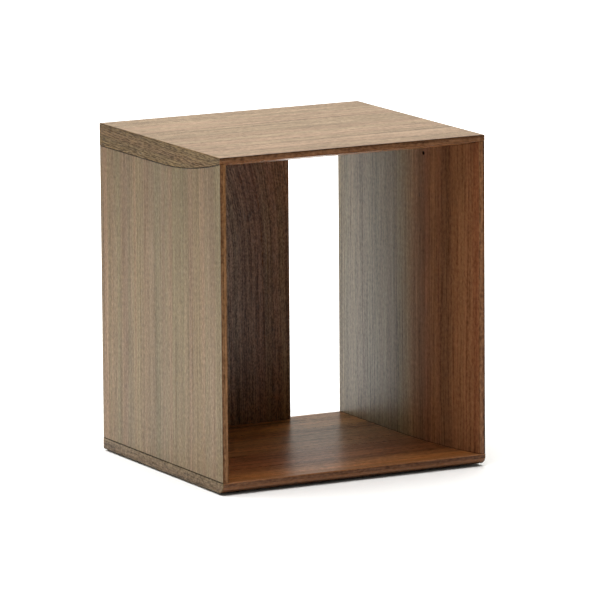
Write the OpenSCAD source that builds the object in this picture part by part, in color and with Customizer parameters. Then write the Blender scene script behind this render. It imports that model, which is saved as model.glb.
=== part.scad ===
// Cube storage unit: an open, veneered box that stands on four small glides.
// The top board and both side boards are thick over their back half and thin
// out along a circular arc to a slim front edge. The base board is flat, with
// a rounded front nosing. The back board covers only part of the width, which
// leaves a full-height slot for cables beside the right side board.
// Millimetres. The front faces -Y and +Z is up. The origin is on the floor,
// under the middle of the unit.

/* [Overall size] */
// Width of the top and base boards
body_w = 336; // [300:1:420]
// Depth, from the front edges to the back face
body_d = 302; // [280:1:360]
// Height, from the underside of the base board to the top face
body_h = 380; // [320:1:460]

/* [Tapered boards] */
// Thickness of the top and side boards over their back half
panel_t = 26; // [24:0.5:30]
// Thickness left at their front edges
edge_t = 7; // [6:0.5:12]
// Length of the tapered zone, back from the front edge
taper_len = 150; // [120:1:170]
// How far the top and base boards stand past each side board
reveal = 0.3; // [0.1:0.1:1]
// Size of the shadow groove at the joints of the side boards
groove = 0.5; // [0.2:0.05:0.6]
// Radius of the softened arrises
arris = 0.6; // [0.3:0.1:1]

/* [Base board] */
// Thickness of the base board
base_t = 13; // [12:0.5:18]
// Radius of its lower front edge
nose_r = 12; // [6:0.5:12]
// Radius of its lower back edge
heel_r = 2.5; // [1:0.1:3]
// Depth of the solid front nosing
nosing_d = 14; // [13:1:20]

/* [Back board] */
// Thickness of the back board
back_t = 12; // [10:0.5:16]
// Width of the open slot between the back board and the right side board
slot_w = 71.5; // [30:0.5:110]

/* [Edging] */
// Thickness of the walnut edge bands
band_t = 1; // [0.6:0.1:2]

/* [Joinery] */
// Diameter of the dowels in the top joints
dowel_d = 8; // [6:0.5:8]
// Length of the dowels in the top joints
dowel_l = 30; // [26:1:34]
// Diameter of the dowels in the base and back joints
pin_d = 6; // [5:0.5:6]
// Length of the dowels in the base and back joints
pin_l = 24; // [20:1:28]
// Distance of the top connectors behind the front edge
conn_back = 99.5; // [80:0.5:120]
// Height of the locking screws below the top joint
lock_drop = 8.5; // [7:0.5:11]
// Diameter of the locking screws
lock_d = 4; // [3:0.5:5]

/* [Glides] */
// Diameter of the glides
glide_d = 18; // [14:1:26]
// Height of the glides
glide_h = 2; // [1.5:0.5:5]
// Distance of the glide centres from the edges of the base board
glide_in = 26; // [20:1:40]

/* [Hidden] */

$fn = 48;
half_w = body_w / 2;
half_d = body_d / 2;
y_front = -half_d;
y_taper = y_front + taper_len;       // where the taper starts
z_base = glide_h;                    // underside of the base board
z_floor = z_base + base_t;           // floor of the compartment
z_top = z_base + body_h;             // top face
z_ceil = z_top - panel_t;            // flat part of the ceiling
x_out = half_w - reveal;             // outer face of a side board
x_in = x_out - panel_t;              // its inner face, over the back half
x_slot = x_in - slot_w;              // free edge of the back board
y_back = half_d - back_t;            // front face of the back board
drop = panel_t - edge_t;
nose = min(nose_r, base_t - arris - 0.2);
taper_r = (taper_len * taper_len + drop * drop) / (2 * drop);
far = 2 * (body_w + body_d + body_h);
fit = 0.05;                          // radial glue gap around a dowel
// How much a tapered board has thinned at depth y
function sag(y) = y >= y_taper ? 0
    : taper_r - sqrt(taper_r * taper_r - (y - y_taper) * (y - y_taper));

// Dowel and connector positions
side_x = x_out - 10.7;               // dowel line in the side boards
top_ys = [for (k = [-0.36, 0.06, 0.38]) k * body_d];
base_ys = [for (k = [-0.38, -0.10, 0.17, 0.40]) k * body_d];
top_sink = 10;                       // dowel depth in the top board
base_sink = 8;                       // dowel depth in the base board
back_y = half_d - back_t / 2;
back_xs = [-x_in + 0.16 * (x_slot + x_in), -x_in + 0.84 * (x_slot + x_in)];
back_zs = [for (k = [0.14, 0.5, 0.86]) z_floor + k * (z_ceil - z_floor)];
conn_y = y_front + conn_back;
conn_z = z_ceil + sag(conn_y);       // top joint at the connector
lock_z = conn_z - lock_drop;
conn_x = (x_in + sag(conn_y) + x_out) / 2;
neck_r = 1.6;

// --- 2-D sections, drawn as depth against thickness ---

// Area outside a quarter round of radius r at corner p; out points away
// from the material
module corner_cut(p, out, r) {
    difference() {
        translate([p[0] - (out[0] > 0 ? r : 1), p[1] - (out[1] > 0 ? r : 1)])
            square(r + 1);
        translate([p[0] - out[0] * r, p[1] - out[1] * r]) circle(r = r);
    }
}

// Section of a tapered board with its tapered face on the depth axis
module tapered_section(t) {
    slope = taper_len / (taper_r - drop);
    c = arris / sqrt(1 + slope * slope);
    difference() {
        union() {
            translate([y_taper, 0]) square([half_d - y_taper, t]);
            intersection() {
                translate([y_front, 0]) square([taper_len, t]);
                translate([y_taper, taper_r]) circle(r = taper_r, $fn = 720);
            }
        }
        corner_cut([y_front, t], [-1, 1], arris);
        corner_cut([half_d, t], [1, 1], arris);
        // small flat on the arris between the arc and the front edge
        polygon([[y_front - 1, drop + arris], [y_front, drop + arris],
            [y_front + c, drop - slope * c], [y_front + c, drop - 3],
            [y_front - 1, drop - 3]]);
    }
}

// Section of the base board
module base_section() {
    difference() {
        translate([y_front, 0]) square([body_d, base_t]);
        corner_cut([y_front, 0], [-1, -1], nose);
        corner_cut([half_d, 0], [1, -1], heel_r);
        corner_cut([y_front, base_t], [-1, 1], arris);
        corner_cut([half_d, base_t], [1, 1], arris);
    }
}

// --- 3-D helpers ---

// Stands a section upright and runs it along the width
module across(w) {
    translate([-w / 2, 0, 0]) rotate([90, 0, 90]) linear_extrude(w) children();
}

// Rounds off the edge along Z at the origin of material towards -X and -Y
module edge_round(r, len) {
    translate([0, 0, -len / 2]) difference() {
        translate([-r, -r, 0]) cube([r + 1, r + 1, len]);
        translate([-r, -r, -1]) cylinder(r = r, h = len + 2);
    }
}

// Box between two corners
module box(a, b) {
    translate(a) cube(b - a);
}

// Everything above the ceiling surface, lowered by g
module above_ceiling(g) {
    translate([0, 0, z_ceil - g]) {
        box([-far, y_taper, 0], [far, far, panel_t + 20]);
        intersection() {
            box([-far, y_front - 20, 0], [far, y_taper, panel_t + 20]);
            translate([-far, y_taper, taper_r]) rotate([0, 90, 0])
                cylinder(r = taper_r, h = 2 * far, $fn = 720);
        }
    }
}

// Mirrors its children to both sides
module both_sides() {
    children();
    mirror([1, 0, 0]) children();
}

// --- Whole boards, before the edge bands are split off ---

module top_whole() {
    difference() {
        translate([0, 0, z_ceil]) across(body_w) tapered_section(panel_t);
        both_sides() {
            translate([half_w, 0, z_top]) rotate([90, 0, 0]) edge_round(arris, far);
            translate([half_w, half_d, z_top]) edge_round(arris, far);
            translate([half_w, y_front, z_top]) mirror([0, 1, 0]) edge_round(arris, far);
        }
    }
}

module base_whole() {
    difference() {
        translate([0, 0, z_base]) across(body_w) base_section();
        both_sides() {
            translate([half_w, 0, z_floor]) rotate([90, 0, 0]) edge_round(arris, far);
            translate([half_w, 0, z_base]) mirror([0, 0, 1]) rotate([90, 0, 0])
                edge_round(arris, far);
            translate([half_w, half_d, z_base]) edge_round(arris, far);
            translate([half_w, y_front, z_base]) mirror([0, 1, 0]) edge_round(arris, far);
        }
    }
}

// Right side board; the left one is its mirror image
module side_whole() {
    difference() {
        translate([x_in, 0, z_floor]) mirror([1, -1, 0])
            linear_extrude(z_top - z_floor) tapered_section(panel_t);
        above_ceiling(0);
        // shadow grooves along the outside of both end joints
        difference() {
            above_ceiling(groove);
            box([0, y_front + groove, 0], [x_out - groove, far, far]);
        }
        difference() {
            box([0, -far, z_floor - 5], [far, far, z_floor + groove]);
            box([-1, y_front + groove, z_floor - 6], [x_out - groove, far + 1, z_floor + 6]);
        }
    }
}

module back_whole() {
    difference() {
        box([-x_in, y_back, z_floor], [x_slot, half_d, z_ceil]);
        translate([x_slot, half_d, z_floor]) edge_round(arris, far);
        translate([x_slot, y_back, z_floor]) mirror([0, 1, 0]) edge_round(arris, far);
    }
}

// --- Holes ---

module hole(d, h) {
    cylinder(d = d + 2 * fit, h = h);
}

// Dowel holes of one side joint, at the top or at the base
module top_dowel_holes() {
    for (y = top_ys)
        translate([side_x, y, z_ceil + sag(y) - (dowel_l - top_sink) - 1])
            hole(dowel_d, dowel_l + 1.5);
}

module base_dowel_holes() {
    for (y = base_ys)
        translate([side_x, y, z_floor - base_sink - 0.5]) hole(pin_d, pin_l + 1.5);
}

// Dowel holes around the back board
module back_dowel_holes() {
    for (z = back_zs)
        translate([-x_in - pin_l / 2 - 0.5, back_y, z]) rotate([0, 90, 0])
            hole(pin_d, pin_l + 1);
    for (x = back_xs) {
        translate([x, back_y, z_ceil + base_sink - pin_l - 0.5]) hole(pin_d, pin_l + 1);
        translate([x, back_y, z_floor - base_sink - 0.5]) hole(pin_d, pin_l + 1);
    }
}

// Bolt hole and locking screw hole of one top connector
module bolt_hole() {
    translate([conn_x, conn_y, conn_z - 19]) hole(6, 19.5);
    translate([conn_x, conn_y, conn_z - 1]) hole(5, 14.5);
}

module lock_hole() {
    translate([x_in - 1, conn_y, lock_z]) rotate([0, 90, 0])
        hole(lock_d, conn_x - x_in + 1);
}

// --- Bands: thin slices of a whole board ---

module front_slice(t) {
    intersection() { children(); box([-far, y_front - 5, 0], [far, y_front + t, far]); }
}

module back_slice(t) {
    intersection() { children(); box([-far, half_d - t, 0], [far, half_d + 5, far]); }
}

// Slice at the right-hand end, between the front and back slices
module end_slice(tf) {
    intersection() {
        children();
        box([half_w - band_t, y_front + tf, 0], [half_w + 5, half_d - band_t, far]);
    }
}

// --- Nodes ---

module top_panel() {
    color([0.62, 0.50, 0.38]) difference() {
        intersection() {
            top_whole();
            box([-half_w + band_t, y_front + band_t, 0], [half_w - band_t, half_d - band_t, far]);
        }
        both_sides() { top_dowel_holes(); bolt_hole(); }
        back_dowel_holes();
    }
}

module top_front_edge_band() { color([0.45, 0.30, 0.20]) front_slice(band_t) top_whole(); }
module top_back_edge_band() { color([0.45, 0.30, 0.20]) back_slice(band_t) top_whole(); }
module top_right_edge_band() { color([0.46, 0.40, 0.32]) end_slice(band_t) top_whole(); }
module top_left_edge_band() {
    color([0.46, 0.40, 0.32]) mirror([1, 0, 0]) end_slice(band_t) top_whole();
}

module base_panel() {
    color([0.34, 0.22, 0.14]) difference() {
        intersection() {
            base_whole();
            box([-half_w + band_t, y_front + nosing_d, 0], [half_w - band_t, half_d - band_t, far]);
        }
        both_sides() base_dowel_holes();
        back_dowel_holes();
        for (x = [-1, 1], y = [-1, 1])
            translate([x * (half_w - glide_in), y * (half_d - glide_in), z_base - 1])
                cylinder(d = 2.1, h = 11.2);
    }
}

// The end bands of the base run past the nosing to its rounded front
module base_front_nosing() {
    color([0.36, 0.23, 0.15]) intersection() {
        base_whole();
        box([-half_w + band_t, y_front - 5, 0], [half_w - band_t, y_front + nosing_d, far]);
    }
}
module base_back_edge_band() { color([0.45, 0.30, 0.20]) back_slice(band_t) base_whole(); }
module base_right_edge_band() { color([0.46, 0.40, 0.32]) end_slice(-5) base_whole(); }
module base_left_edge_band() {
    color([0.46, 0.40, 0.32]) mirror([1, 0, 0]) end_slice(-5) base_whole();
}

module right_side_panel() {
    color([0.50, 0.38, 0.28]) difference() {
        intersection() {
            side_whole();
            box([0, y_front + band_t, 0], [far, half_d - band_t, far]);
        }
        top_dowel_holes();
        base_dowel_holes();
        bolt_hole();
        lock_hole();
    }
}

module left_side_panel() {
    color([0.58, 0.50, 0.42]) difference() {
        mirror([1, 0, 0]) intersection() {
            side_whole();
            box([0, y_front + band_t, 0], [far, half_d - band_t, far]);
        }
        mirror([1, 0, 0]) {
            top_dowel_holes();
            base_dowel_holes();
            bolt_hole();
            lock_hole();
        }
        back_dowel_holes();
    }
}

module right_side_front_edge_band() { color([0.45, 0.30, 0.20]) front_slice(band_t) side_whole(); }
module right_side_back_edge_band() { color([0.45, 0.30, 0.20]) back_slice(band_t) side_whole(); }
module left_side_front_edge_band() {
    color([0.45, 0.30, 0.20]) mirror([1, 0, 0]) front_slice(band_t) side_whole();
}
module left_side_back_edge_band() {
    color([0.45, 0.30, 0.20]) mirror([1, 0, 0]) back_slice(band_t) side_whole();
}

module back_panel() {
    color([0.28, 0.20, 0.15]) difference() {
        intersection() {
            back_whole();
            box([-far, -far, 0], [x_slot - band_t, far, far]);
        }
        back_dowel_holes();
    }
}

module back_panel_edge_band() {
    color([0.40, 0.28, 0.20]) intersection() {
        back_whole();
        box([x_slot - band_t, -far, 0], [x_slot + 5, far, far]);
    }
}

// Round dowel with chamfered ends, standing on the origin
module dowel(d, l) {
    c = 0.8;
    rotate_extrude() polygon([[0, 0], [d / 2 - c, 0], [d / 2, c], [d / 2, l - c],
        [d / 2 - c, l], [0, l]]);
}

module top_joint_dowels() {
    color([0.85, 0.72, 0.52]) both_sides() for (y = top_ys)
        translate([side_x, y, z_ceil + sag(y) - (dowel_l - top_sink)])
            dowel(dowel_d, dowel_l);
}

module base_joint_dowels() {
    color([0.85, 0.72, 0.52]) both_sides() for (y = base_ys)
        translate([side_x, y, z_floor - base_sink]) dowel(pin_d, pin_l);
}

module back_panel_dowels() {
    color([0.85, 0.72, 0.52]) {
        for (z = back_zs)
            translate([-x_in - pin_l / 2, back_y, z]) rotate([0, 90, 0]) dowel(pin_d, pin_l);
        for (x = back_xs) {
            translate([x, back_y, z_ceil + base_sink - pin_l]) dowel(pin_d, pin_l);
            translate([x, back_y, z_floor - base_sink]) dowel(pin_d, pin_l);
        }
    }
}

// Steel bolt: screwed up into the top board, with a waist for the locking screw
module connector_bolts() {
    n = lock_drop;
    color([0.75, 0.75, 0.76]) both_sides() translate([conn_x, conn_y, conn_z])
        rotate_extrude() polygon([[0, -18.4], [2.2, -18.4], [3, -17.6], [3, -n - 2],
            [neck_r, -n - 0.6], [neck_r, -n + 0.6], [3, -n + 2], [3, -0.4], [2.5, 0],
            [2.5, 11.5], [1.6, 13], [0, 13]]);
}

// Locking screw with a hexagon socket, sunk below the inner face
module connector_grub_screws() {
    color([0.12, 0.12, 0.13]) both_sides()
        translate([conn_x - neck_r, conn_y, lock_z]) rotate([0, -90, 0]) difference() {
            rotate_extrude() polygon([[0, 0], [lock_d / 2 - 1.2, 0], [lock_d / 2, 1.2],
                [lock_d / 2, 7.7], [lock_d / 2 - 0.3, 8], [0, 8]]);
            translate([0, 0, 5.8]) cylinder(d = lock_d * 0.58, h = 3, $fn = 6);
        }
}

// Nail of one glide, head down
module nail() {
    translate([0, 0, glide_h - 0.7]) {
        cylinder(d = 2, h = 10.7);
        cylinder(d = 7, h = 0.5);
    }
}

module at_glides() {
    for (x = [-1, 1], y = [-1, 1])
        translate([x * (half_w - glide_in), y * (half_d - glide_in), 0]) children();
}

module base_glides() {
    color([0.13, 0.12, 0.11]) at_glides() difference() {
        rotate_extrude() polygon([[0, 0], [glide_d / 2 - 0.6, 0], [glide_d / 2, 0.6],
            [glide_d / 2, glide_h], [0, glide_h]]);
        nail();
    }
}

module glide_nails() { color([0.65, 0.65, 0.66]) at_glides() nail(); }

top_panel();
top_front_edge_band();
top_back_edge_band();
top_left_edge_band();
top_right_edge_band();
base_panel();
base_front_nosing();
base_back_edge_band();
base_left_edge_band();
base_right_edge_band();
left_side_panel();
left_side_front_edge_band();
left_side_back_edge_band();
right_side_panel();
right_side_front_edge_band();
right_side_back_edge_band();
back_panel();
back_panel_edge_band();
top_joint_dowels();
base_joint_dowels();
back_panel_dowels();
connector_bolts();
connector_grub_screws();
base_glides();
glide_nails();
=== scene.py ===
import math

import bpy
from mathutils import Matrix, Vector


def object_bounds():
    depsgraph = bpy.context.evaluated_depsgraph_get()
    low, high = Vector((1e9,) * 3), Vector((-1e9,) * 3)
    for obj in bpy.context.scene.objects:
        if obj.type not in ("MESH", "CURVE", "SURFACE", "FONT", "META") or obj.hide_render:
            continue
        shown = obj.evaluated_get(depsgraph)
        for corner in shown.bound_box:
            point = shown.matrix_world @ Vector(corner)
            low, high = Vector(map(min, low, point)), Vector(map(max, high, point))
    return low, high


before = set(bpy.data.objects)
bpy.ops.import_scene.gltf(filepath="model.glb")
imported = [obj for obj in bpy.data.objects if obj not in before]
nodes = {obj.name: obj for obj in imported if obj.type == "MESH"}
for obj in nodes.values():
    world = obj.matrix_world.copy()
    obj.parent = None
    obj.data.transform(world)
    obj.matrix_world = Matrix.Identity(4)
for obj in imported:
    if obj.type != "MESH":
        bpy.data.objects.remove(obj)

cad_lo, cad_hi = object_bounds()

# ---------------------------------------------------------------- node helpers


class Tree:
    """Short calls for building a material's or a world's node tree."""

    def __init__(self, owner):
        owner.use_nodes = True
        self.nt = owner.node_tree
        self.nt.nodes.clear()

    def add(self, kind, **props):
        n = self.nt.nodes.new(kind)
        for k, v in props.items():
            setattr(n, k, v)
        return n

    def put(self, socket, value):
        if isinstance(value, bpy.types.NodeSocket):
            self.nt.links.new(value, socket)
        else:
            socket.default_value = value

    def math(self, op, a, b=0.0, c=0.0, clamp=False):
        n = self.add("ShaderNodeMath", operation=op, use_clamp=clamp)
        for s, v in zip(n.inputs, (a, b, c)):
            self.put(s, v)
        return n.outputs[0]

    def mul(self, a, b):
        return self.math("MULTIPLY", a, b)

    def plus(self, a, b):
        return self.math("ADD", a, b)

    def xyz(self, x, y, z):
        n = self.add("ShaderNodeCombineXYZ")
        for s, v in zip(n.inputs, (x, y, z)):
            self.put(s, v)
        return n.outputs[0]

    def noise(self, vector, detail=2.0, rough=0.5, lac=2.0):
        n = self.add("ShaderNodeTexNoise", noise_dimensions="3D", normalize=True)
        self.put(n.inputs["Vector"], vector)
        n.inputs["Scale"].default_value = 1.0
        n.inputs["Detail"].default_value = detail
        n.inputs["Roughness"].default_value = rough
        n.inputs["Lacunarity"].default_value = lac
        return n.outputs[0]

    def smooth(self, value, lo, hi, out_lo=0.0, out_hi=1.0):
        n = self.add("ShaderNodeMapRange", interpolation_type="SMOOTHSTEP")
        self.put(n.inputs["Value"], value)
        n.inputs["From Min"].default_value = lo
        n.inputs["From Max"].default_value = hi
        n.inputs["To Min"].default_value = out_lo
        n.inputs["To Max"].default_value = out_hi
        return n.outputs[0]

    def ramp(self, value, stops):
        n = self.add("ShaderNodeValToRGB")
        e = n.color_ramp.elements
        while len(e) < len(stops):
            e.new(0.5)
        for el, (p, c) in zip(e, stops):
            el.position = p
            el.color = (*c, 1.0)
        self.put(n.inputs[0], value)
        return n.outputs[0]

    def mix(self, fac, a, b, blend="MIX"):
        n = self.add("ShaderNodeMix", data_type="RGBA", blend_type=blend)
        self.put(n.inputs[0], fac)
        for s, v in ((n.inputs[6], a), (n.inputs[7], b)):
            self.put(s, (*v, 1.0) if isinstance(v, tuple) and len(v) == 3 else v)
        return n.outputs[2]


def shader(t, colour, rough, normal=None, specular=0.5):
    p = t.add("ShaderNodeBsdfPrincipled")
    t.put(p.inputs["Base Color"], colour)
    t.put(p.inputs["Roughness"], rough)
    t.put(p.inputs["Specular IOR Level"], specular)
    if normal is not None:
        t.put(p.inputs["Normal"], normal)
    out = t.add("ShaderNodeOutputMaterial")
    t.nt.links.new(p.outputs[0], out.inputs[0])
    return p


# ---------------------------------------------------------------- walnut

WALNUT = ((0.085, 0.048, 0.018), (0.200, 0.125, 0.056), (0.330, 0.222, 0.112))
R_TAPER, Y_TAPER, Z_CEIL = 0.60161, -0.001, 0.356
HOLE_Y, HOLE_Z = -0.0515, 0.34962


def walnut(name, along, across, face=None, seed=0.0, gain=(1.0, 1.0, 1.0), gain2=None, rough=0.29, drift=0.006,
           contrast=1.0, fine=1.0, dashes=1.0, specks=1.0, mids=1.0, mid_at=(5.0, 125.0),
           dash_at=(62.0, 250.0), speck_at=(210.0, 330.0), blend=None, figure=None, lines=(), pore=1.0, band=1.0, ring=1.0, specular=0.5,
           joint=0.0, hole_shade=False, shade=None, specular2=None, streaks=1.0, tint=1.0, bands_and_painted_light=(), bands_on_second_face=0, bump=0.22, fold=None):
    """Satin lacquered walnut veneer. along and across are the axes (0 X, 1 Y, 2 Z) of the grain and across it.
    face is (axis, middle) of a board, so that its two faces get different leaves; gain2 tints the leaf past the middle.
    gain and gain2 hold the wood's tint and also the painted light and shade of each face.
    lines are thin dark lines, at joints and as painted shade along arrises and edges, or painted highlights if
    negative: (axis, place, half width, strength). joint darkens the curved top joint, a flag paints shade into the
    connector holes, and shade is (axis, from, to, level at from): painted shade that fades along an axis. blend is
    (axis, from, to, gain) for painted light and shade that change across the board. figure is (level, sweep, from, to)
    of grain that sweeps aside above a level, most at from and least at to, on the first face, and specular2 is the
    sheen of the second face. The broad soft bands (axis, middle, half width, colour factors) are partly grain tone and
    partly painted light, shade and reflection, on the first face or the second. tint is the spread of hue.
    fold is a third axis taken off the one across, so that the grain runs on round an arris of solid wood."""
    m = bpy.data.materials.new(name)
    t = Tree(m)
    co = t.add("ShaderNodeTexCoord").outputs["Object"]
    sep = t.add("ShaderNodeSeparateXYZ")
    t.put(sep.inputs[0], co)
    axis = sep.outputs
    u, v = axis[along], axis[across]
    if fold is not None:
        v = t.math("SUBTRACT", v, axis[fold])
    w = seed
    side = None
    if face is not None:
        # the two faces of a board carry different leaves of veneer
        side = t.math("GREATER_THAN", axis[face[0]], face[1])
        w = t.math("MULTIPLY_ADD", side, 6.31, seed)

    def at(su, sv, dw, vv=None):
        ww = t.plus(w, dw) if isinstance(w, bpy.types.NodeSocket) else w + dw
        return t.xyz(t.mul(u, su), t.mul(v if vv is None else vv, sv), ww)

    # slow drift of the grain, and a slight waver
    d1 = t.math("SUBTRACT", t.noise(at(1.7, 4.0, 0.0), 1.0), 0.5)
    d2 = t.math("SUBTRACT", t.noise(at(10.0, 34.0, 3.3), 1.0), 0.5)
    v2 = t.plus(v, t.plus(t.mul(d1, drift * 3), t.mul(d2, 0.0022)))
    if figure is not None:
        # the grain runs straight up to a level, and sweeps to one side above it
        u0, sweep, v_lo, v_hi = figure
        du = t.math("MAXIMUM", t.math("SUBTRACT", u, u0), 0.0)
        sweep = t.smooth(v, v_lo, v_hi, sweep, 0.4 * sweep)
        if side is not None:
            sweep = t.mul(sweep, t.math("MULTIPLY_ADD", side, -0.8, 1.0))
        v2 = t.plus(v2, t.mul(t.mul(du, du), sweep))

    bands = t.noise(at(0.9, 38.0, 7.0, v2), 3.0, 0.55)
    streak = t.noise(at(3.2, 260.0, 12.0, v2), 3.0, 0.62)
    fibre = t.noise(at(18.0, 1150.0, 19.0, v2), 2.0, 0.6)
    middle = t.noise(at(*mid_at, 15.0, v2), 2.0, 0.6)
    dash = t.noise(at(*dash_at, 23.0, v2), 3.0, 0.7)
    speck = t.noise(at(*speck_at, 33.0, v2), 2.0, 0.6)
    rings = t.noise(at(0.8, 62.0, 27.0, v2), 2.0, 0.55)
    ring_line = t.math("ABSOLUTE", t.math("SUBTRACT", t.math("FRACT", t.mul(rings, 9.0)), 0.5))
    ring_dark = t.smooth(ring_line, 0.0, 0.16, 1.0, 0.0)

    weights = ((bands, 0.8 * band), (middle, 0.5 * mids), (streak, 0.9 * fine * streaks), (fibre, 1.1 * fine),
               (dash, 1.0 * dashes), (speck, 1.8 * specks))
    total = sum(k for _, k in weights) * contrast
    tone = 0.5 - 0.5 * total
    for value, k in weights:
        tone = t.math("MULTIPLY_ADD", value, k * contrast, tone)
    tone = t.math("SUBTRACT", tone, t.mul(ring_dark, 0.20 * contrast * ring), clamp=True)

    def leaf(gn):
        return t.ramp(tone, [(p, tuple(a * b for a, b in zip(c, gn))) for p, c in zip((0.0, 0.5, 1.0), WALNUT)])

    # each face's leaf tint also holds painted light and shade, so the faces are lit and shaded copies of one walnut
    colour = leaf(gain)
    # a painted change of light and shade across the board
    if blend is not None:
        colour = t.mix(t.smooth(axis[blend[0]], blend[1], blend[2]), colour, leaf(blend[3]))
    if gain2 is not None:
        colour = t.mix(side, colour, leaf(gain2))

    # broad warm and olive drifts
    hue = t.noise(at(0.6, 60.0, 40.0, v2), 2.0 if tint == 1.0 else 3.0, 0.5 if tint == 1.0 else 0.6)
    olive = tuple(1.0 + tint * c for c in (-0.035, 0.02, -0.05))
    warm = tuple(1.0 + tint * c for c in (0.045, -0.015, -0.02))
    colour = t.mix(t.smooth(hue, 0.35, 0.65), t.mix(1.0, colour, olive, "MULTIPLY"), t.mix(1.0, colour, warm, "MULTIPLY"))
    # broad bands, partly grain tone and partly painted light, shade and reflection
    for a, place, half, factors in bands_and_painted_light:
        away = t.math("ABSOLUTE", t.math("SUBTRACT", axis[a], place))
        near = t.smooth(away, half * 0.3, half, 1.0, 0.0)
        if side is not None:
            near = t.mul(near, side if bands_on_second_face else t.math("SUBTRACT", 1.0, side))
        colour = t.mix(near, colour, t.mix(1.0, colour, factors, "MULTIPLY"))

    # open pores: short dashes along the grain, fine and coarse
    small = t.smooth(t.noise(at(150.0, 2400.0, 51.0, v2), 1.0), 0.56, 0.70)
    coarse = t.smooth(t.noise(at(75.0, 820.0, 58.0, v2), 1.0), 0.57, 0.72)
    density = t.smooth(t.noise(at(2.0, 110.0, 66.0, v2), 2.0), 0.35, 0.65, 0.45, 1.0)
    pores = t.mul(t.math("MAXIMUM", t.mul(small, 0.8), coarse), density)
    deep = tuple(0.40 * a * b for a, b in zip(WALNUT[0], gain))
    colour = t.mix(t.mul(pores, 0.70 * pore), colour, deep)

    dark = None
    # thin dark lines at joints, and painted shade along arrises and edges
    for a, place, half, strength in lines:
        away = t.math("ABSOLUTE", t.math("SUBTRACT", axis[a], place))
        near = t.smooth(away, half * 0.45, half, abs(strength), 0.0)
        # a negative line paints a highlight
        if strength < 0:
            colour = t.mix(near, colour, tuple(1.5 * b * c for b, c in zip(WALNUT[2], gain)))
        else:
            dark = near if dark is None else t.math("MAXIMUM", dark, near)
    if joint:
        # the curved joint between the top board and a side board
        back = t.math("MAXIMUM", t.math("SUBTRACT", Y_TAPER, axis[1]), 0.0)
        root = t.math("SQRT", t.math("SUBTRACT", R_TAPER * R_TAPER, t.mul(back, back)))
        off = t.math("SUBTRACT", axis[2], t.math("SUBTRACT", Z_CEIL + R_TAPER, root))
        near = t.smooth(t.math("ABSOLUTE", off), 0.00025, 0.00095, joint, 0.0)
        dark = near if dark is None else t.math("MAXIMUM", dark, near)
    # painted shade inside the connector holes
    if hole_shade:
        dy, dz = t.math("SUBTRACT", axis[1], HOLE_Y), t.math("SUBTRACT", axis[2], HOLE_Z)
        near = t.smooth(t.math("SQRT", t.plus(t.mul(dy, dy), t.mul(dz, dz))), 0.00205, 0.0026, 0.97, 0.0)
        near = t.mul(near, t.math("LESS_THAN", t.math("ABSOLUTE", axis[0]), 0.165))
        dark = near if dark is None else t.math("MAXIMUM", dark, near)
    # painted shade that fades along an axis
    if shade is not None:
        a, s0, s1, level = shade
        near = t.smooth(axis[a], s0, s1, level, 0.0)
        dark = near if dark is None else t.math("MAXIMUM", dark, near)
    spec = specular if specular2 is None else t.math("MULTIPLY_ADD", side, specular2 - specular, specular)
    # darken the dark joints and the painted shade
    if dark is not None:
        colour = t.mix(dark, colour, tuple(0.18 * c for c in deep))
        spec = t.mul(spec, t.math("MULTIPLY_ADD", dark, -0.9, 1.0))
    # the open pores and the dark early wood shine less
    spec = t.mul(spec, t.math("MULTIPLY_ADD", tone, 1.1, 0.45))

    r = t.math("MULTIPLY_ADD", streak, 0.10, rough - 0.05)
    r = t.plus(r, t.mul(pores, 0.14))
    height = t.plus(t.mul(pores, -1.0), t.mul(fibre, 0.25))
    b = t.add("ShaderNodeBump")
    b.inputs["Strength"].default_value = bump
    b.inputs["Distance"].default_value = 0.00012
    t.put(b.inputs["Height"], height)
    shader(t, colour, r, b.outputs[0], spec)
    return m


def beech():
    m = bpy.data.materials.new("beech")
    t = Tree(m)
    co = t.add("ShaderNodeTexCoord").outputs["Object"]
    mp = t.add("ShaderNodeMapping")
    mp.inputs["Scale"].default_value = (700.0, 700.0, 60.0)
    t.put(mp.inputs[0], co)
    n = t.noise(mp.outputs[0], 3.0)
    c = t.ramp(n, [(0.3, (0.44, 0.27, 0.14)), (0.7, (0.62, 0.44, 0.26))])
    b = t.add("ShaderNodeBump")
    b.inputs["Strength"].default_value = 0.3
    b.inputs["Distance"].default_value = 0.0002
    t.put(b.inputs["Height"], n)
    shader(t, c, t.math("MULTIPLY_ADD", n, 0.2, 0.5), b.outputs[0])
    return m


def metal(name, lo, hi, metallic, rough):
    m = bpy.data.materials.new(name)
    t = Tree(m)
    co = t.add("ShaderNodeTexCoord").outputs["Object"]
    mp = t.add("ShaderNodeMapping")
    mp.inputs["Scale"].default_value = (900.0, 900.0, 900.0)
    t.put(mp.inputs[0], co)
    n = t.noise(mp.outputs[0], 4.0, 0.6)
    p = shader(t, t.ramp(n, [(0.3, lo), (0.7, hi)]), t.math("MULTIPLY_ADD", n, 0.2, rough))
    p.inputs["Metallic"].default_value = metallic
    return m


def plastic():
    m = bpy.data.materials.new("dark_plastic")
    t = Tree(m)
    co = t.add("ShaderNodeTexCoord").outputs["Object"]
    mp = t.add("ShaderNodeMapping")
    mp.inputs["Scale"].default_value = (1800.0, 1800.0, 1800.0)
    t.put(mp.inputs[0], co)
    n = t.noise(mp.outputs[0], 3.0, 0.6)
    b = t.add("ShaderNodeBump")
    b.inputs["Strength"].default_value = 0.25
    b.inputs["Distance"].default_value = 0.0001
    t.put(b.inputs["Height"], n)
    shader(t, t.ramp(n, [(0.3, (0.018, 0.016, 0.014)), (0.7, (0.034, 0.030, 0.026))]),
           t.math("MULTIPLY_ADD", n, 0.2, 0.45), b.outputs[0])
    return m


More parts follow.
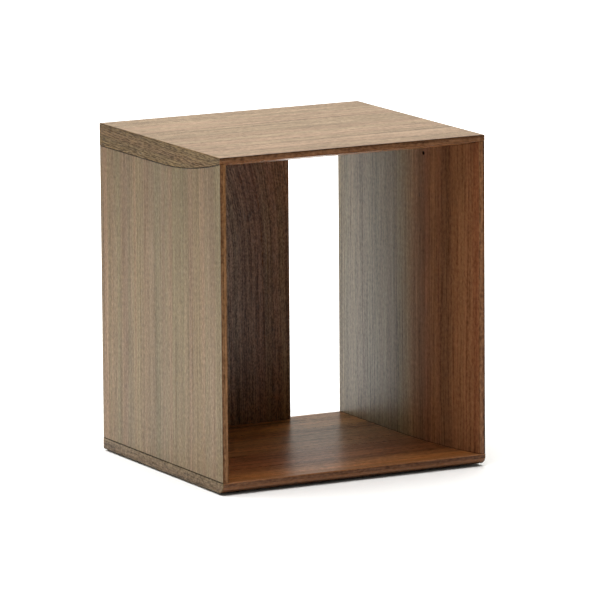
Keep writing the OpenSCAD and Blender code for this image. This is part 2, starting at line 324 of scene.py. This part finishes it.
X, Y, Z = 0, 1, 2
z_top = cad_hi.z
# tints of one walnut for each kind of face, which also hold painted light and shade: inner faces lit warm, outer faces
# cool, front and end edges shaded darker
OUTER_TINT_AND_LIGHT = (0.90, 0.92, 0.95)
INNER_TINT_AND_LIGHT = (1.45, 0.93, 0.78)
FRONT_TINT_AND_SHADE = (0.70, 0.41, 0.27)
END_TINT_AND_SHADE = (0.56, 0.485, 0.31)
xl, xr, yf, yb = cad_lo.x, cad_hi.x, cad_lo.y, cad_hi.y
mats = {
    # top board: its underside takes the warm inner tint, and its pale bluish top leaf is partly painted sheen
    "top_panel": walnut("walnut_top", X, Y, (Z, z_top - 0.003), seed=1.0, band=0.8, gain=INNER_TINT_AND_LIGHT, gain2=(1.10, 1.08, 1.29), mids=2.0, mid_at=(9.0, 125.0), fine=0.7, specks=0.7, dashes=0.6),
    # dark front edge tint partly painted shade; the dark lines at and under the top arris are painted shade, and the
    # light line at the bottom a painted highlight
    "top_front_edge_band": walnut("walnut_top_front", X, Z, seed=31.0, gain=(0.62, 0.39, 0.30), specular=0.2,
                                  lines=((Z, z_top, 0.0016, 0.6), (Z, 0.3810, 0.0028, 0.25), (Z, 0.3762, 0.0016, -0.08))),
    "top_back_edge_band": walnut("walnut_top_back", X, Z, seed=35.0),
    # end bands: the darker upper part and the lighter lower edge and front are painted light and shade; the dark curved
    # line is the joint
    "top_left_edge_band": walnut("walnut_top_left_end", Y, Z, seed=41.0, gain=(0.72, 0.64, 0.43), blend=(Z, 0.353, 0.366, END_TINT_AND_SHADE), contrast=1.5, pore=1.4, dashes=1.5, dash_at=(55.0, 640.0),
                                  speck_at=(110.0, 760.0), specular=0.17, joint=0.85, bands_and_painted_light=((Z, 0.3575, 0.010, (1.13, 1.14, 1.20)), (Y, -0.085, 0.065, (1.12, 1.13, 1.14)))),
    "top_right_edge_band": walnut("walnut_top_right_end", Y, Z, seed=45.0, gain=(0.72, 0.64, 0.43), blend=(Z, 0.353, 0.366, END_TINT_AND_SHADE), contrast=1.5, pore=1.4, dashes=1.5, dash_at=(55.0, 640.0),
                                  speck_at=(110.0, 760.0), specular=0.17, joint=0.85, bands_and_painted_light=((Z, 0.3575, 0.010, (1.13, 1.14, 1.20)), (Y, -0.085, 0.065, (1.12, 1.13, 1.14)))),
    # compartment floor: the warm inner leaf is partly painted light; the dark band is a painted reflection of the back
    # board, the light bands at front and back are painted light, and the darkening by the right board is painted shade
    "base_panel": walnut("walnut_base", X, Y, (Z, 0.010), seed=51.0, gain2=(1.42, 0.88, 0.53), mids=3.0, mid_at=(10.0, 150.0), band=1.5, streaks=1.3,
                         specular=0.55, shade=(X, 0.141, 0.01, 0.35),
                         bands_on_second_face=1, bands_and_painted_light=((Y, -0.064, 0.076, (0.71, 0.57, 0.56)), (Y, 0.092, 0.055, (1.22, 1.22, 0.88)), (Y, -0.142, 0.022, (1.28, 1.06, 0.92)))),
    # the darker lower part of the nosing is painted shade, and its two light lines are painted highlights
    "base_front_nosing": walnut("walnut_base_front", X, Z, seed=61.0, fold=Y, gain=(0.56, 0.32, 0.195), specular=0.25,
                                contrast=0.9, shade=(Z, 0.002, 0.0068, 0.88),
                                lines=((Z, 0.0081, 0.0022, -0.36), (Z, 0.0150, 0.0014, -0.58))),
    "base_back_edge_band": walnut("walnut_base_back", X, Z, seed=65.0),
    # the dark line at the bottom edge is painted shade of the gap under the base; the line at the top is the joint
    "base_left_edge_band": walnut("walnut_base_left_end", Y, Z, seed=71.0, gain=(0.60, 0.58, 0.47), contrast=1.3, pore=1.2, specular=0.2,
                                  lines=((Z, 0.015, 0.0008, 0.75), (Z, 0.002, 0.0009, 0.8))),
    "base_right_edge_band": walnut("walnut_base_right_end", Y, Z, seed=75.0, gain=(0.60, 0.58, 0.47), contrast=1.3, pore=1.2, specular=0.2,
                                   lines=((Z, 0.015, 0.0008, 0.75), (Z, 0.002, 0.0009, 0.8))),
    # left side: the darker upper part is painted shade, the inner face takes the warm lit inner tint, and the broad
    # vertical bands are partly painted light
    "left_side_panel": walnut("walnut_left", Z, Y, (X, xl + 0.003), seed=81.0, ring=0.5, specular=0.25, contrast=0.8,
                              dashes=0.25, specks=0.8, speck_at=(230.0, 430.0), mids=0.6, band=0.6, streaks=1.3, tint=1.8, pore=0.8, gain=OUTER_TINT_AND_LIGHT,
                              blend=(Z, 0.18, 0.37, tuple(0.84 * c for c in OUTER_TINT_AND_LIGHT)), gain2=INNER_TINT_AND_LIGHT, joint=0.85, hole_shade=True,
                              lines=((Z, 0.015, 0.0008, 0.75),),
                              bands_and_painted_light=((Y, -0.094, 0.018, (1.09, 1.05, 1.03)), (Y, -0.125, 0.012, (0.95, 0.96, 0.97)), (Y, -0.143, 0.010, (1.08, 1.07, 1.10)),
                                       (Y, 0.004, 0.038, (0.91, 0.96, 1.0)), (Y, 0.058, 0.014, (1.06, 1.02, 1.0)),
                                       (Y, 0.082, 0.015, (0.89, 0.91, 0.93)), (Y, 0.134, 0.018, (1.08, 1.02, 0.98)))),
    # the dark line at the outer arris is painted shade and the light line beside it a painted highlight; the line at
    # the bottom is the joint
    "left_side_front_edge_band": walnut("walnut_left_front", Z, X, seed=91.0, gain=(0.74, 0.49, 0.345), specular=0.22,
                                        lines=((Z, 0.015, 0.0008, 0.7), (X, xl, 0.0024, 0.35), (X, -0.163, 0.0018, -0.20))),
    "left_side_back_edge_band": walnut("walnut_left_back", Z, X, seed=95.0),
    # right side: the pale bands across the inner face are painted reflection and the dark band painted shade, over the
    # real sheen; the inner tint and its change along the depth are partly painted light
    "right_side_panel": walnut("walnut_right", Z, Y, (X, xr - 0.003), seed=101.0, ring=0.5, gain=(1.20, 0.78, 0.70), gain2=OUTER_TINT_AND_LIGHT, fine=1.3, streaks=1.2, mids=0.7, dashes=0.3, specks=0.6, pore=0.7, bump=0.12,
                               blend=(Y, -0.05, 0.02, (0.93, 1.02, 0.86)), rough=0.37, specular=0.95, specular2=0.25,
                               joint=0.85, hole_shade=True,
                               lines=((Z, 0.015, 0.0008, 0.75), (Y, -0.096, 0.013, 0.17)),
                               bands_and_painted_light=((Y, -0.012, 0.034, (1.28, 1.48, 1.45)), (Y, -0.092, 0.014, (1.0, 1.08, 1.15)), (Y, -0.048, 0.013, (0.86, 0.90, 0.87)), (Y, -0.070, 0.008, (1.12, 1.15, 1.12)),
                                        (Y, -0.147, 0.010, (0.83, 0.74, 0.67)), (Y, 0.062, 0.045, (1.10, 1.16, 1.08)), (Y, 0.132, 0.016, (0.82, 0.82, 0.76)))),
    # the dark line at the outer arris is painted shade; the line at the bottom is the joint
    "right_side_front_edge_band": walnut("walnut_right_front", Z, X, seed=111.0, gain=FRONT_TINT_AND_SHADE, specular=0.22,
                                         lines=((X, xr, 0.0030, 0.7), (Z, 0.015, 0.0008, 0.7))),
    "right_side_back_edge_band": walnut("walnut_right_back", Z, X, seed=115.0),
    # back board: its darker tint is partly painted shade of the compartment, and its broad bands are partly painted
    # light
    "back_panel": walnut("walnut_back_board", Z, X, (Y, yb - 0.006), seed=127.3, figure=(0.20, 1.35, -0.01, 0.06), ring=1.2, fine=1.4, band=0.9, tint=1.6, drift=0.010,
                         gain=(0.71, 0.50, 0.365), gain2=OUTER_TINT_AND_LIGHT, specks=1.2,
                         speck_at=(330.0, 640.0), dash_at=(95.0, 420.0),
                         bands_and_painted_light=((X, 0.018, 0.030, (0.93, 0.86, 0.82)), (X, 0.064, 0.014, (1.15, 1.25, 1.32)), (Z, 0.315, 0.060, (1.08, 1.0, 0.96)))),
    "back_panel_edge_band": walnut("walnut_back_board_edge", Z, Y, seed=131.0, gain=(0.95, 0.82, 0.72)),
    "top_joint_dowels": beech(),
    "connector_bolts": metal("zinc_steel", (0.50, 0.50, 0.51), (0.66, 0.66, 0.66), 1.0, 0.25),
    "connector_grub_screws": metal("black_steel", (0.015, 0.015, 0.016), (0.035, 0.035, 0.036), 0.6, 0.35),
    "base_glides": plastic(),
}
mats["base_joint_dowels"] = mats["back_panel_dowels"] = mats["top_joint_dowels"]
mats["glide_nails"] = mats["connector_bolts"]

for n, o in nodes.items():
    o.data.materials.clear()
    o.data.materials.append(mats[n])

# ---------------------------------------------------------------- studio

floor_mesh = bpy.data.meshes.new("studio_floor")
ring = [(7.0 * math.cos(k * math.tau / 96), 7.0 * math.sin(k * math.tau / 96), 0.0) for k in range(96)]
floor_mesh.from_pydata(ring, [], [list(range(96))])
floor = bpy.data.objects.new("studio_floor", floor_mesh)
bpy.context.scene.collection.objects.link(floor)
fm = bpy.data.materials.new("studio_floor")
t = Tree(fm)
# the floor is over-exposed to the eye, and whiter still far away
pos = t.add("ShaderNodeTexCoord").outputs["Object"]
length = t.add("ShaderNodeVectorMath", operation="LENGTH")
t.put(length.inputs[0], pos)
p = shader(t, (0.90, 0.90, 0.90, 1.0), 0.9, specular=0.1)
p.inputs["Emission Color"].default_value = (1.0, 1.0, 1.0, 1.0)
far_away = t.smooth(length.outputs["Value"], 0.45, 2.0, 0.0, 1.0)
t.put(p.inputs["Emission Strength"], t.mul(far_away, t.add("ShaderNodeLightPath").outputs["Is Camera Ray"]))
floor_mesh.materials.append(fm)


def softbox(name, at, to, size, power, spread=180.0):
    d = bpy.data.lights.new(name, "AREA")
    d.shape = "RECTANGLE"
    d.size, d.size_y = size
    d.energy = power
    d.spread = math.radians(spread)
    o = bpy.data.objects.new(name, d)
    bpy.context.scene.collection.objects.link(o)
    o.location = at
    o.rotation_mode = "QUATERNION"
    o.rotation_quaternion = (Vector(to) - Vector(at)).to_track_quat("-Z", "Y")
    o.visible_camera = False
    return o


softbox("overhead", (-0.3, 0.15, 2.4), (-0.3, 0.15, 0.0), (3.2, 3.2), 135.0)

world = bpy.data.worlds.new("studio")
bpy.context.scene.world = world
t = Tree(world)
direction = t.add("ShaderNodeTexCoord").outputs["Generated"]
sp = t.add("ShaderNodeSeparateXYZ")
t.put(sp.inputs[0], direction)
# the studio is bright behind and beside the object, and dim in front of it
toward_back = t.smooth(sp.outputs[1], -0.55, 0.35)
left = t.smooth(sp.outputs[0], 0.1, -0.9)
level = t.math("MULTIPLY_ADD", toward_back, 0.36, 0.26)
level = t.math("MAXIMUM", level, t.mul(left, 0.32))
lit = t.add("ShaderNodeBackground")
lit.inputs[0].default_value = (1.0, 0.985, 0.90, 1.0)
t.put(lit.inputs[1], level)
seen = t.add("ShaderNodeBackground")
seen.inputs[0].default_value = (1.0, 1.0, 1.0, 1.0)
seen.inputs[1].default_value = 1.0
pick = t.add("ShaderNodeMixShader")
t.put(pick.inputs[0], t.add("ShaderNodeLightPath").outputs["Is Camera Ray"])
t.nt.links.new(lit.outputs[0], pick.inputs[1])
t.nt.links.new(seen.outputs[0], pick.inputs[2])
out = t.add("ShaderNodeOutputWorld")
t.nt.links.new(pick.outputs[0], out.inputs[0])

scene = bpy.context.scene
scene.view_settings.view_transform = "Standard"
scene.view_settings.look = "None"
scene.view_settings.exposure = 0.0
scene.view_settings.gamma = 1.0

# ---------------------------------------------------------------- camera

yaw, pitch, roll = (math.radians(a) for a in (27.81, -10.22, -0.432))
fw = Vector((math.sin(yaw) * math.cos(pitch), math.cos(yaw) * math.cos(pitch), math.sin(pitch)))
rt = Vector((math.cos(yaw), -math.sin(yaw), 0.0))
up = rt.cross(fw)
cx = math.cos(roll) * rt + math.sin(roll) * up
cy = -math.sin(roll) * rt + math.cos(roll) * up
camera = bpy.data.cameras.new("camera")
camera.sensor_width = 36.0
camera.lens = 6568.7 / 600.0 * 36.0
camera.clip_start, camera.clip_end = 0.1, 60.0
cam = bpy.data.objects.new("camera", camera)
scene.collection.objects.link(cam)
cam.matrix_world = Matrix((
    (cx.x, cy.x, -fw.x, -3.4344),
    (cx.y, cy.y, -fw.y, -6.5309),
    (cx.z, cy.z, -fw.z, 1.5145),
    (0.0, 0.0, 0.0, 1.0)))
scene.camera = cam
